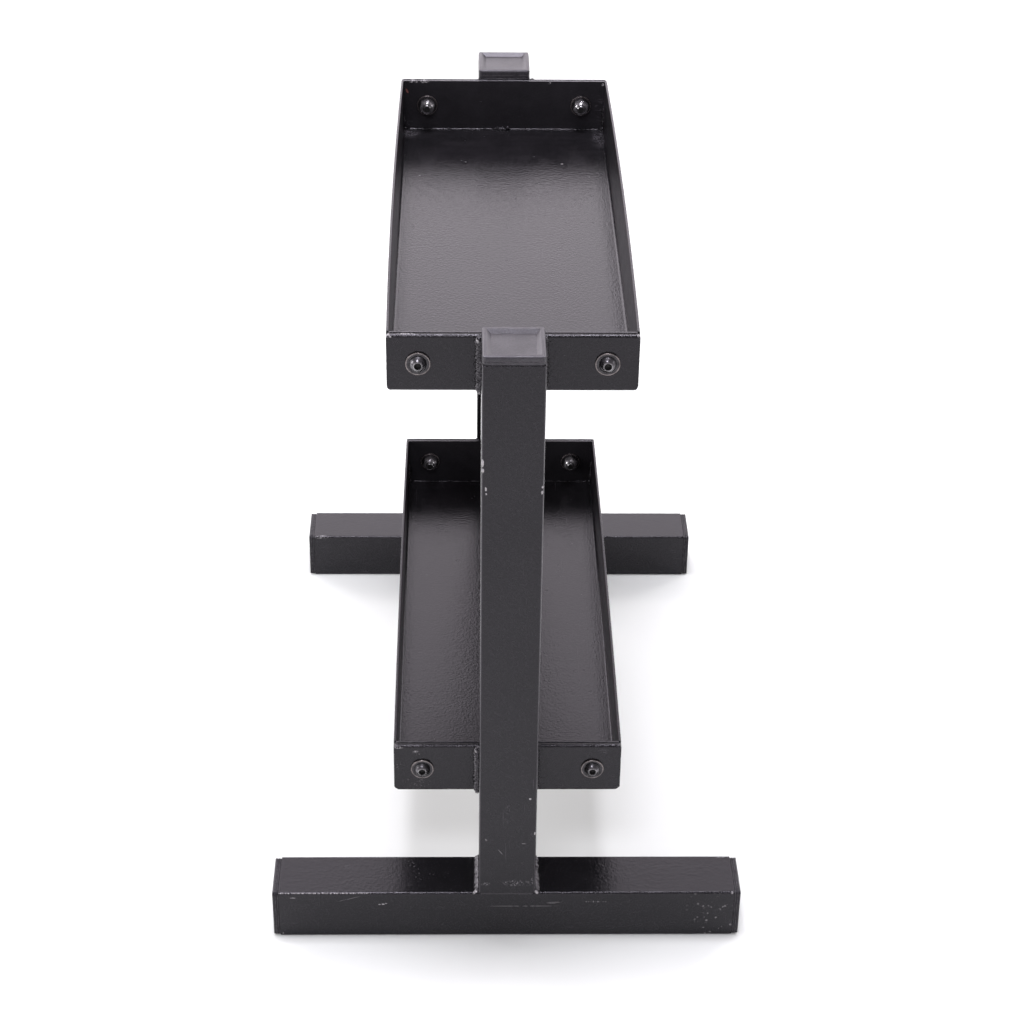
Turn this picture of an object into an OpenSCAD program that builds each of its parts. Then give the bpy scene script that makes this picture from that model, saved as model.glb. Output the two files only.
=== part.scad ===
// Two-tier dumbbell rack. Two end frames, each a square-tube foot with a
// square-tube upright welded on its middle, carry two sheet-steel trays.
// Every tray end is bolted to a flat bracket welded behind the upright.
// Units are millimetres. The origin is on the ground under the middle of the
// rack: +X runs along the trays, +Y from front to back and +Z up.

/* [Tube] */
// Outside width of the square tube
tube_w = 50; // [45:1:55]
// Wall thickness of the square tube
tube_t = 2; // [1.5:0.1:3]
// Outside corner radius of the square tube
tube_r = 2; // [1.2:0.1:3]
// Length of each foot tube, front to back, without its caps
foot_l = 405; // [300:1:500]
// Height of the top of the upright tubes above the ground
upright_top = 583; // [500:1:700]

/* [Trays] */
// Length of each tray over its end plates
tray_l = 520; // [400:1:900]
// Outside width of each tray
tray_w = 200; // [190:1:260]
// Depth of each tray from its rim to its floor
tray_d = 50; // [44:1:60]
// Thickness of the tray sheet
sheet_t = 2; // [1.5:0.1:3]
// Outside bend radius along the bottom edges of a tray
bend_r = 3; // [2:0.1:5]
// Radius of the top corners of a tray end plate
end_corner_r = 4; // [2:0.5:8]
// Height of the lower tray's rim above the ground
lower_rim = 176; // [140:1:260]

/* [Brackets] */
// Thickness of the flat bracket bars
bracket_t = 5; // [3:0.5:8]
// Height of the flat bracket bars
bracket_h = 50; // [44:1:60]
// Chamfer at the bottom corners of a bracket
bracket_c_low = 4.5; // [1:0.5:8]
// Chamfer at the top corners of a bracket
bracket_c_top = 2; // [1:0.5:8]
// Rolled radius along the long edges of the flat bars
bracket_r = 2.4; // [0.5:0.1:2.4]

/* [Fasteners] */
// Distance between the two bolts of a bracket
bolt_pitch = 150; // [110:1:160]
// Diameter of the bolt shank
bolt_d = 7.9; // [6:0.1:10]
// Diameter of the bolt holes in brackets and tray ends
bolt_hole_d = 9; // [8.5:0.1:11]
// Length of the bolt under its head
bolt_l = 20; // [20:1:25]
// Diameter of the domed bolt head
head_d = 14; // [13:0.5:16]
// Height of the domed bolt head
head_h = 4.4; // [3:0.1:6]
// Width across flats of the bolt's hexagon socket
socket_af = 5; // [4:0.5:6]
// Outside diameter of the flat washers
washer_d = 20; // [16:0.5:24]
// Thickness of the flat washers
washer_t = 1.6; // [1:0.1:2.5]
// Width across flats of the lock nuts
nut_af = 13; // [12:0.5:15]
// Height of the lock nuts
nut_h = 8; // [7:0.1:9]

/* [Caps] */
// Thickness of a foot cap's flange outside the tube
cap_t = 6; // [4:0.5:10]
// Thickness of an upright cap's flange outside the tube
upright_cap_t = 8.2; // [4:0.1:12]
// Height of the lip at the bottom of a flange, below its parting groove
cap_lip = 3; // [2:0.1:4]
// Depth of an end cap's plug inside the tube
plug_l = 22; // [12:1:30]
// Width of the raised rim round the dished face of a cap
cap_rim = 3.6; // [2:0.1:6]
// Depth of the dish in the face of a cap
cap_dish = 2.6; // [1:0.1:3]
// Width of the sloped sides of that dish
cap_slope = 3.6; // [1:0.1:6]
// Radius of the upright corners of a cap's flange
cap_corner_r = 4; // [2:0.5:5]
// Radius along the outer edges of a cap's flange
cap_edge_r = 2.2; // [0.5:0.1:3]

/* [Welds] */
// Leg of the fillet welds between the tubes and the brackets
weld_leg = 4; // [3:0.1:6]
// Leg of the light fillet welds inside the trays
tray_weld_leg = 2.4; // [1.5:0.1:4]

/* [Hidden] */

upper_rim = upright_top;                       // both brackets end level with the tube
frame_x = tray_l / 2 + bracket_t + tube_w / 2; // from the middle to a tube's centre line
tube_ri = max(tube_r - tube_t, 0.5);           // corner radius inside the tube
tube_in = tube_w - 2 * tube_t;                 // width inside the tube
hole_z = bracket_h / 2;                        // the bolts sit halfway up the brackets
bolt_y = bolt_pitch / 2;
pan_l = tray_l - 2 * sheet_t;
cap_gap = 1.3;                                 // shadow gap between a cap and its tube
cap_w = tube_w - 0.3;
eps = 0.01;

powder = [0.135, 0.13, 0.14];
plastic = [0.16, 0.155, 0.165];
zinc = [0.26, 0.25, 0.26];
bead = [0.17, 0.165, 0.175];
nylon = [0.08, 0.08, 0.09];

// ---- profiles -------------------------------------------------------------

// A square with round corners, drawn about its centre
module round_square(w, r) {
    square([w - 2 * r, w], center = true);
    square([w, w - 2 * r], center = true);
    for (x = [-1, 1], y = [-1, 1])
        translate([x * (w / 2 - r), y * (w / 2 - r)]) circle(r = r, $fn = 32);
}

module tube_section() {
    difference() {
        round_square(tube_w, tube_r);
        round_square(tube_in, tube_ri);
    }
}

// The outline of a tray across its width: y across, z up from its underside
module tray_outline(w, h, r) {
    translate([-w / 2, r]) square([w, h - r]);
    translate([-w / 2 + r, 0]) square([w - 2 * r, h]);
    for (y = [-1, 1])
        translate([y * (w / 2 - r), r]) circle(r = r, $fn = 48);
}

// Turns an outline drawn in y and z so that it stands across X, from x = 0 up
module across_x(l) {
    rotate([90, 0, 90]) linear_extrude(height = l) children();
}

// Puts its children at one end of the rack: side is -1 on the left, 1 on the right
module at_end(side) {
    if (side > 0) children();
    else mirror([1, 0, 0]) children();
}

// A slab w square whose top edges are rounded by r, its top at z = h
module eased_top(w, h, r) {
    module wall() {
        rotate([90, 0, 0]) linear_extrude(height = w + 2, center = true) {
            translate([-w / 2, -1]) square([w, h - r + 1]);
            translate([-w / 2 + r, -1]) square([w - 2 * r, h + 1]);
            for (x = [-1, 1]) translate([x * (w / 2 - r), h - r]) circle(r = r, $fn = 32);
        }
    }
    intersection() {
        wall();
        rotate([0, 0, 90]) wall();
    }
}

// Four-sided pyramid stump: width a at the bottom, b at the top
module stump(a, b, h) {
    module wedge() {
        rotate([90, 0, 0]) linear_extrude(height = max(a, b) + 2, center = true)
            polygon([[-a / 2, 0], [a / 2, 0], [b / 2, h], [-b / 2, h]]);
    }
    intersection() {
        wedge();
        rotate([0, 0, 90]) wedge();
    }
}

// ---- end frames -------------------------------------------------------------

module foot_tube(side) {
    color(powder)
    translate([side * frame_x, 0, tube_w / 2])
        rotate([90, 0, 0])
            linear_extrude(height = foot_l, center = true) tube_section();
}

module upright_tube(side) {
    color(powder)
    translate([side * frame_x, 0, tube_w])
        linear_extrude(height = upright_top - tube_w) tube_section();
}

// A moulded cap on the end of a tube that stops at z = 0: its flange is above,
// t thick, and its ribbed plug goes down inside the tube
module end_cap(t) {
    plug_w = tube_in - 3;
    face_w = cap_w - 2 * cap_rim;
    color(plastic)
    difference() {
        union() {
            // flange in two steps with a fine parting groove, rounded towards its face
            intersection() {
                union() {
                    translate([0, 0, cap_gap])
                        linear_extrude(height = cap_lip - cap_gap) round_square(cap_w, cap_corner_r);
                    translate([0, 0, cap_gap])
                        linear_extrude(height = t - cap_gap) round_square(cap_w - 0.7, cap_corner_r);
                    translate([0, 0, cap_lip + 0.4])
                        linear_extrude(height = t - cap_lip - 0.4) round_square(cap_w, cap_corner_r);
                }
                eased_top(cap_w, t, cap_edge_r);
            }
            // shoulder that meets the tube end, then the plug and its ribs
            translate([0, 0, 0]) linear_extrude(height = cap_gap + eps) round_square(tube_w - 1.8, tube_r);
            translate([0, 0, -plug_l]) linear_extrude(height = plug_l + eps) round_square(plug_w, 1);
            for (z = [0.2, 0.42, 0.64, 0.86])
                translate([0, 0, -plug_l * z - 0.5])
                    linear_extrude(height = 1) round_square(tube_in - 0.1, tube_ri + 0.3);
        }
        // dished face
        translate([0, 0, t - cap_dish]) stump(face_w - 2 * cap_slope, face_w, cap_dish);
        translate([0, 0, t - eps]) linear_extrude(height = 1) square(face_w, center = true);
        // hollow plug
        translate([0, 0, -plug_l - 1]) linear_extrude(height = plug_l) round_square(plug_w - 4, 1);
    }
}

module foot_cap(side, back) {
    translate([side * frame_x, back * foot_l / 2, tube_w / 2])
        rotate([-90 * back, 0, 0]) end_cap(cap_t);
}

module upright_cap(side) {
    translate([side * frame_x, 0, upright_top]) end_cap(upright_cap_t);
}

// Flat bar across the inner face of the upright, drilled for two bolts
module bracket(side, rim) {
    z0 = rim - bracket_h;
    h = tray_w / 2;
    color(powder)
    at_end(side)
    difference() {
        translate([tray_l / 2, 0, z0])
            intersection() {
                across_x(bracket_t)
                    polygon([
                        [-h, bracket_c_low], [-h + bracket_c_low, 0],
                        [h - bracket_c_low, 0], [h, bracket_c_low],
                        [h, bracket_h - bracket_c_top], [h - bracket_c_top, bracket_h],
                        [-h + bracket_c_top, bracket_h], [-h, bracket_h - bracket_c_top]
                    ]);
                // section of the rolled bar, drawn in x and z
                rotate([90, 0, 0]) linear_extrude(height = tray_w + 2, center = true) {
                    translate([bracket_r, 0]) square([bracket_t - 2 * bracket_r, bracket_h]);
                    translate([0, bracket_r]) square([bracket_t, bracket_h - 2 * bracket_r]);
                    for (x = [bracket_r, bracket_t - bracket_r], z = [bracket_r, bracket_h - bracket_r])
                        translate([x, z]) circle(r = bracket_r, $fn = 32);
                }
            }
        for (y = [-bolt_y, bolt_y])
            translate([tray_l / 2 - 1, y, z0 + hole_z])
                rotate([0, 90, 0]) cylinder(d = bolt_hole_d, h = bracket_t + 2, $fn = 48);
    }
}

// ---- trays ------------------------------------------------------------------

// Folded channel: a floor and two long walls
module tray_pan(rim) {
    h = tray_d + sheet_t;
    color(powder)
    translate([-pan_l / 2, 0, rim - h])
        across_x(pan_l)
            difference() {
                tray_outline(tray_w, h, bend_r);
                translate([0, sheet_t])
                    tray_outline(tray_w - 2 * sheet_t, h, max(bend_r - sheet_t, 0.5));
            }
}

// End plate that closes the channel, drilled to match the bracket
module tray_end(side, rim) {
    h = tray_d + sheet_t;
    r = end_corner_r;
    color(powder)
    at_end(side)
    difference() {
        translate([pan_l / 2, 0, rim - h])
            across_x(sheet_t)
                union() {
                    intersection() {
                        tray_outline(tray_w, h, bend_r);
                        union() {
                            translate([-tray_w / 2, 0]) square([tray_w, h - r]);
                            translate([-tray_w / 2 + r, 0]) square([tray_w - 2 * r, h]);
                        }
                    }
                    for (y = [-1, 1])
                        translate([y * (tray_w / 2 - r), h - r]) circle(r = r, $fn = 48);
                }
        for (y = [-bolt_y, bolt_y])
            translate([pan_l / 2 - 1, y, rim - bracket_h + hole_z])
                rotate([0, 90, 0]) cylinder(d = bolt_hole_d, h = sheet_t + 2, $fn = 48);
    }
}

// ---- fasteners --------------------------------------------------------------

// Repeats its children at the four bolts of a tray, with +X pointing outwards
// from the outer face of the bracket
module at_bolts(rim) {
    for (side = [-1, 1], y = [-bolt_y, bolt_y])
        at_end(side)
            translate([tray_l / 2 + bracket_t, y, rim - bracket_h + hole_z])
                rotate([0, 90, 0]) children();
}

// Domed socket screw: its head is above z = 0 and its shank goes down
module bolt() {
    flat_r = head_d * 0.24;
    edge_h = 0.8;
    // centre of the sphere through the rim of the head and the edge of its flat
    c = (pow(flat_r, 2) + pow(head_h, 2) - pow(head_d / 2, 2) - pow(edge_h, 2)) / (2 * (head_h - edge_h));
    dome_r = sqrt(pow(head_d / 2, 2) + pow(edge_h - c, 2));
    color(zinc)
    difference() {
        union() {
            intersection() {
                translate([0, 0, c]) sphere(r = dome_r, $fn = 96);
                cylinder(d = head_d, h = head_h, $fn = 96);
            }
            translate([0, 0, -bolt_l + 0.9]) cylinder(d = bolt_d, h = bolt_l - 0.9 + eps, $fn = 48);
            translate([0, 0, -bolt_l]) cylinder(d1 = bolt_d - 1.8, d2 = bolt_d, h = 0.9, $fn = 48);
        }
        translate([0, 0, head_h - 2.6]) cylinder(d = socket_af / cos(30), h = 3, $fn = 6);
        // eased mouth of the socket
        translate([0, 0, head_h - 0.45])
            cylinder(d1 = socket_af, d2 = 2 * flat_r - 0.2, h = 0.45, $fn = 48);
        translate([0, 0, head_h - eps]) cylinder(d = 2 * flat_r - 0.2, h = 1, $fn = 48);
    }
}

module washer() {
    color(zinc)
    difference() {
        cylinder(d = washer_d, h = washer_t, $fn = 64);
        translate([0, 0, -1]) cylinder(d = bolt_d + 0.5, h = washer_t + 2, $fn = 48);
    }
}

// Hexagon nut with a round collar that holds a nylon ring
module lock_nut() {
    hex_h = nut_h - 2.2;
    hex_r = nut_af / 2 / cos(30);
    color(zinc)
    difference() {
        union() {
            intersection() {
                cylinder(r = hex_r, h = hex_h, $fn = 6);
                rotate_extrude($fn = 64)
                    polygon([
                        [0, 0], [nut_af / 2 - 0.1, 0], [hex_r + 0.1, 0.7],
                        [hex_r + 0.1, hex_h - 0.7], [nut_af / 2 - 0.1, hex_h], [0, hex_h]
                    ]);
            }
            rotate_extrude($fn = 64)
                polygon([
                    [0, hex_h - 1], [nut_af / 2 - 0.6, hex_h - 1], [nut_af / 2 - 0.6, nut_h - 1],
                    [nut_af / 2 - 1.4, nut_h - 0.1], [0, nut_h]
                ]);
        }
        translate([0, 0, -1]) cylinder(d = bolt_d + 0.1, h = nut_h + 2, $fn = 48);
        // seat of the nylon ring, under a rolled lip
        translate([0, 0, hex_h - 0.6]) cylinder(d = bolt_d + 2, h = 2, $fn = 48);
        translate([0, 0, hex_h]) cylinder(d = bolt_d + 1, h = 4, $fn = 48);
    }
}

module nut_insert() {
    hex_h = nut_h - 2.2;
    color(nylon)
    translate([0, 0, hex_h - 0.6])
        difference() {
            cylinder(d = bolt_d + 2, h = 2, $fn = 48);
            translate([0, 0, -1]) cylinder(d = bolt_d + 0.1, h = 4, $fn = 48);
        }
}

module bolts(rim) {
    at_bolts(rim) translate([0, 0, washer_t]) bolt();
}

module outer_washers(rim) {
    at_bolts(rim) washer();
}

module inner_washers(rim) {
    at_bolts(rim) translate([0, 0, -bracket_t - sheet_t - washer_t]) washer();
}

// The nuts stand on the inner washers and point into the tray
module on_inner_washer() {
    translate([0, 0, -bracket_t - sheet_t - washer_t]) rotate([180, 0, 0]) children();
}

module lock_nuts(rim) {
    at_bolts(rim) on_inner_washer() rotate([0, 0, 11]) lock_nut();
}

module nut_inserts(rim) {
    at_bolts(rim) on_inner_washer() nut_insert();
}

// ---- welds ------------------------------------------------------------------

// Fillets each side of the upright on top of the foot, and the ground-flush
// seams that fill the joint at its outer and inner faces
module foot_welds(side) {
    h = tube_w / 2;
    color(bead)
    at_end(side)
    translate([frame_x, 0, 0]) {
        for (y = [-1, 1])
            translate([-h + tube_r, 0, 0]) rotate([90, 0, 90])
                linear_extrude(height = tube_w - 2 * tube_r)
                    difference() {
                        translate([y * h, tube_w]) circle(r = weld_leg, $fn = 48);
                        translate([y > 0 ? h - 2 * weld_leg : -h, tube_w - 1]) square([2 * weld_leg, 2 * weld_leg + 2]);
                        translate([-2 * h, tube_w - 2 * weld_leg]) square([4 * h, 2 * weld_leg]);
                    }
        for (x = [-1, 1])
            rotate([90, 0, 0])
                linear_extrude(height = tube_w - 2 * tube_r, center = true)
                    difference() {
                        translate([x > 0 ? h - tube_r : -h, tube_w - tube_r]) square(tube_r);
                        translate([x * (h - tube_r), tube_w - tube_r]) circle(r = tube_r, $fn = 32);
                    }
    }
}

// Fillets where the sides of the upright meet the outer face of the brackets
module bracket_welds(side) {
    h = tube_w / 2;
    color(bead)
    at_end(side)
    for (rim = [upper_rim, lower_rim], y = [-1, 1])
        translate([frame_x, 0, rim - bracket_h + bracket_r + 0.5])
            linear_extrude(height = bracket_h - 2 * bracket_r - 1)
                difference() {
                    translate([-h, y * h]) circle(r = weld_leg, $fn = 48);
                    translate([-h - 2 * weld_leg, -2 * h]) square([2 * weld_leg, 4 * h]);
                    round_square(tube_w, tube_r);
                    translate([-h, -h + tube_r]) square([weld_leg + 1, tube_w - 2 * tube_r]);
                }
}

// Fillets inside a tray: halfway up both corners of each end plate, and one
// along the floor with a heavier tack in its middle
module tray_welds(rim) {
    x = pan_l / 2;
    y0 = tray_w / 2 - sheet_t;
    z0 = rim - tray_d;
    color(bead)
    for (side = [-1, 1])
        at_end(side) {
            for (y = [-1, 1])
                translate([0, 0, z0 + bend_r])
                    intersection() {
                        translate([x, y * y0, 0]) cylinder(r = tray_weld_leg, h = tray_d / 2, $fn = 48);
                        translate([x - 10, y > 0 ? y0 - 10 : -y0, -1]) cube([10, 10, tray_d]);
                    }
            intersection() {
                union() {
                    translate([x, 0, z0]) rotate([90, 0, 0])
                        cylinder(r = tray_weld_leg * 0.75, h = 2 * y0 - 4 * bend_r, center = true, $fn = 48);
                    translate([x, 0, z0]) rotate([90, 0, 0])
                        cylinder(r = tray_weld_leg * 1.5, h = 9, center = true, $fn = 48);
                }
                translate([x - 10, -y0, z0]) cube([10, 2 * y0, 10]);
            }
        }
}

foot_tube(-1);  // foot_tube_left
foot_tube(1);  // foot_tube_right
upright_tube(-1);  // upright_tube_left
upright_tube(1);  // upright_tube_right
foot_cap(-1, -1);  // foot_cap_left_front
foot_cap(-1, 1);  // foot_cap_left_back
foot_cap(1, -1);  // foot_cap_right_front
foot_cap(1, 1);  // foot_cap_right_back
upright_cap(-1);  // upright_cap_left
upright_cap(1);  // upright_cap_right
bracket(-1, upper_rim);  // upper_bracket_left
bracket(1, upper_rim);  // upper_bracket_right
bracket(-1, lower_rim);  // lower_bracket_left
bracket(1, lower_rim);  // lower_bracket_right
tray_pan(upper_rim);  // upper_tray_pan
tray_end(-1, upper_rim);  // upper_tray_end_left
tray_end(1, upper_rim);  // upper_tray_end_right
tray_pan(lower_rim);  // lower_tray_pan
tray_end(-1, lower_rim);  // lower_tray_end_left
tray_end(1, lower_rim);  // lower_tray_end_right
bolts(upper_rim);  // upper_bolts
bolts(lower_rim);  // lower_bolts
outer_washers(upper_rim);  // upper_outer_washers
outer_washers(lower_rim);  // lower_outer_washers
inner_washers(upper_rim);  // upper_inner_washers
inner_washers(lower_rim);  // lower_inner_washers
lock_nuts(upper_rim);  // upper_lock_nuts
lock_nuts(lower_rim);  // lower_lock_nuts
nut_inserts(upper_rim);  // upper_nut_inserts
nut_inserts(lower_rim);  // lower_nut_inserts
foot_welds(-1);  // foot_welds_left
foot_welds(1);  // foot_welds_right
bracket_welds(-1);  // bracket_welds_left
bracket_welds(1);  // bracket_welds_right
tray_welds(upper_rim);  // upper_tray_welds
tray_welds(lower_rim);  // lower_tray_welds
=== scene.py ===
"""Two-tier dumbbell rack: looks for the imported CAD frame. Metres, Z up, +X along the trays."""
import math
import random

import bmesh
import bpy
from mathutils import Matrix, Vector, noise

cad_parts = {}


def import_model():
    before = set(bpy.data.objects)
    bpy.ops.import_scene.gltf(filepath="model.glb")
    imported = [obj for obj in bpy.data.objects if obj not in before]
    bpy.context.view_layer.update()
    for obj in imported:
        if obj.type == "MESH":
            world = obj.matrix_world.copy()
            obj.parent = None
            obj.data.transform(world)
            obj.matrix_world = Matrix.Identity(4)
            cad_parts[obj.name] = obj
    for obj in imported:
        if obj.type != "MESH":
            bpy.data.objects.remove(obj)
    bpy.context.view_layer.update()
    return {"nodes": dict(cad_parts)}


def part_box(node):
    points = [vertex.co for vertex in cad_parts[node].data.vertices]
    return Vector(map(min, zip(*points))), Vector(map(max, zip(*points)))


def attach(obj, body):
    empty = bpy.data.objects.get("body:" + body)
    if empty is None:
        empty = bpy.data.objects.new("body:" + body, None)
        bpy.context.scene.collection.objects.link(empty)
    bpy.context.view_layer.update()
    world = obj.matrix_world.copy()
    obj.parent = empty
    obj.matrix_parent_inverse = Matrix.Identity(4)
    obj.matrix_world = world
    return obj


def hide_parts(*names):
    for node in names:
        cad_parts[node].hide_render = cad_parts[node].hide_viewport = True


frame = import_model()
nodes = frame["nodes"]

MM = 0.001
SIDES = {"left": -1, "right": 1}

# Places read from the frame itself.
tube_low, tube_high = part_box("upright_tube_right")
TUBE = tube_high.y                    # half the tube's width
FRAME_X = (tube_low.x + tube_high.x) / 2
TUBE_IN_X = tube_low.x                # inner face of the right upright
TUBE_TOP = tube_high.z
FOOT_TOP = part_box("foot_tube_right")[1].z
FOOT_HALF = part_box("foot_tube_right")[1].y
BRACKETS = {t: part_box(t + "_bracket_right") for t in ("upper", "lower")}
PANS = {t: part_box(t + "_tray_pan") for t in ("upper", "lower")}
ENDS = {t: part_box(t + "_tray_end_right") for t in ("upper", "lower")}
SHEET = ENDS["upper"][1].x - ENDS["upper"][0].x
TRAY_HALF = PANS["upper"][1].y
BOLT_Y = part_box("upper_outer_washers")[1].y - 10.0 * MM
BOLT_Z = {t: (BRACKETS[t][0].z + BRACKETS[t][1].z) / 2 for t in ("upper", "lower")}


# ---------------------------------------------------------------- materials

class Tree:
    """Short helpers for building a node tree."""

    def __init__(self, name):
        self.mat = bpy.data.materials.new(name)
        self.mat.use_nodes = True
        self.nt = self.mat.node_tree
        self.nt.nodes.clear()
        self.out = self.add("ShaderNodeOutputMaterial")
        self.p = self.add("ShaderNodeBsdfPrincipled")
        self.link(self.p.outputs["BSDF"], self.out.inputs["Surface"])
        self.tc = self.add("ShaderNodeTexCoord")
        self.pos = self.tc.outputs["Object"]

    def add(self, kind, **props):
        n = self.nt.nodes.new(kind)
        for k, v in props.items():
            setattr(n, k, v)
        return n

    def link(self, a, b):
        self.nt.links.new(a, b)

    def put(self, socket, value):
        if isinstance(value, bpy.types.NodeSocket):
            self.link(value, socket)
        else:
            socket.default_value = value

    def math(self, op, a, b=0.0, c=0.0, clamp=False):
        n = self.add("ShaderNodeMath", operation=op, use_clamp=clamp)
        self.put(n.inputs[0], a)
        self.put(n.inputs[1], b)
        if len(n.inputs) > 2:
            self.put(n.inputs[2], c)
        return n.outputs[0]

    def ramp(self, value, low, high, out_low=0.0, out_high=1.0, smooth=True):
        n = self.add("ShaderNodeMapRange", clamp=True)
        if smooth:
            n.interpolation_type = "SMOOTHSTEP"
        self.put(n.inputs["Value"], value)
        n.inputs["From Min"].default_value = low
        n.inputs["From Max"].default_value = high
        n.inputs["To Min"].default_value = out_low
        n.inputs["To Max"].default_value = out_high
        return n.outputs["Result"]

    def mapping(self, scale=(1, 1, 1), loc=(0, 0, 0), rot=(0, 0, 0), vec=None):
        n = self.add("ShaderNodeMapping")
        self.link(vec or self.pos, n.inputs["Vector"])
        n.inputs["Scale"].default_value = scale
        n.inputs["Location"].default_value = loc
        n.inputs["Rotation"].default_value = rot
        return n.outputs["Vector"]

    def noise(self, scale, detail=2.0, rough=0.5, vec=None, distortion=0.0, w=None):
        n = self.add("ShaderNodeTexNoise")
        if w is not None:
            n.noise_dimensions = "4D"
            n.inputs["W"].default_value = w
        self.link(vec or self.pos, n.inputs["Vector"])
        n.inputs["Scale"].default_value = scale
        n.inputs["Detail"].default_value = detail
        n.inputs["Roughness"].default_value = rough
        n.inputs["Distortion"].default_value = distortion
        return n.outputs["Fac"]

    def voronoi(self, scale, feature="F1", vec=None, randomness=1.0):
        n = self.add("ShaderNodeTexVoronoi", feature=feature)
        self.link(vec or self.pos, n.inputs["Vector"])
        n.inputs["Scale"].default_value = scale
        n.inputs["Randomness"].default_value = randomness
        return n.outputs["Distance"]

    def xyz(self, vec=None):
        n = self.add("ShaderNodeSeparateXYZ")
        self.link(vec or self.pos, n.inputs[0])
        return n.outputs

    def mix(self, fac, a, b):
        n = self.add("ShaderNodeMix", data_type="RGBA")
        self.put(n.inputs[0], fac)
        self.put(n.inputs[6], a)
        self.put(n.inputs[7], b)
        return n.outputs[2]

    def bump(self, height, distance, strength=1.0, normal=None):
        n = self.add("ShaderNodeBump")
        n.inputs["Strength"].default_value = strength
        n.inputs["Distance"].default_value = distance
        self.link(height, n.inputs["Height"])
        if normal is not None:
            self.link(normal, n.inputs["Normal"])
        return n.outputs["Normal"]

    def window(self, value, low, high, soft):
        """1 between low and high, falling to 0 over soft on each side."""
        up = self.ramp(value, low - soft, low)
        down = self.ramp(value, high, high + soft, 1.0, 0.0)
        return self.math("MULTIPLY", up, down)

    def dab(self, centre, radii, rot=(0, 0, 0), soft=0.4):
        """1 inside a turned ellipsoid, in the row frame."""
        n = self.add("ShaderNodeMapping", vector_type="TEXTURE")
        self.link(self.pos, n.inputs["Vector"])
        n.inputs["Location"].default_value = centre
        n.inputs["Rotation"].default_value = rot
        n.inputs["Scale"].default_value = radii
        d = self.add("ShaderNodeVectorMath", operation="LENGTH")
        self.link(n.outputs["Vector"], d.inputs[0])
        return self.ramp(d.outputs["Value"], 1.0 - soft, 1.0, 1.0, 0.0)

    def any(self, *values):
        out = values[0]
        for v in values[1:]:
            out = self.math("MAXIMUM", out, v)
        return out

    def edge(self, radius, low=0.02, high=0.22):
        """1 on outside and inside corners, from a rounded normal."""
        bev = self.add("ShaderNodeBevel", samples=6)
        bev.inputs["Radius"].default_value = radius
        geo = self.add("ShaderNodeNewGeometry")
        dot = self.add("ShaderNodeVectorMath", operation="DOT_PRODUCT")
        self.link(bev.outputs["Normal"], dot.inputs[0])
        self.link(geo.outputs["True Normal"], dot.inputs[1])
        return self.ramp(self.math("SUBTRACT", 1.0, dot.outputs["Value"]), low, high)


def rgb(r, g, b):
    return (r, g, b, 1.0)


COAT = rgb(0.0044, 0.0043, 0.0050)
COAT_PALE = rgb(0.0080, 0.0077, 0.0090)
COAT_DUSTY = rgb(0.040, 0.0365, 0.041)
COAT_RUBBED = rgb(0.075, 0.070, 0.078)
BARE = rgb(0.56, 0.54, 0.55)
SPEC_TINT = rgb(0.965, 0.925, 1.0)


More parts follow.
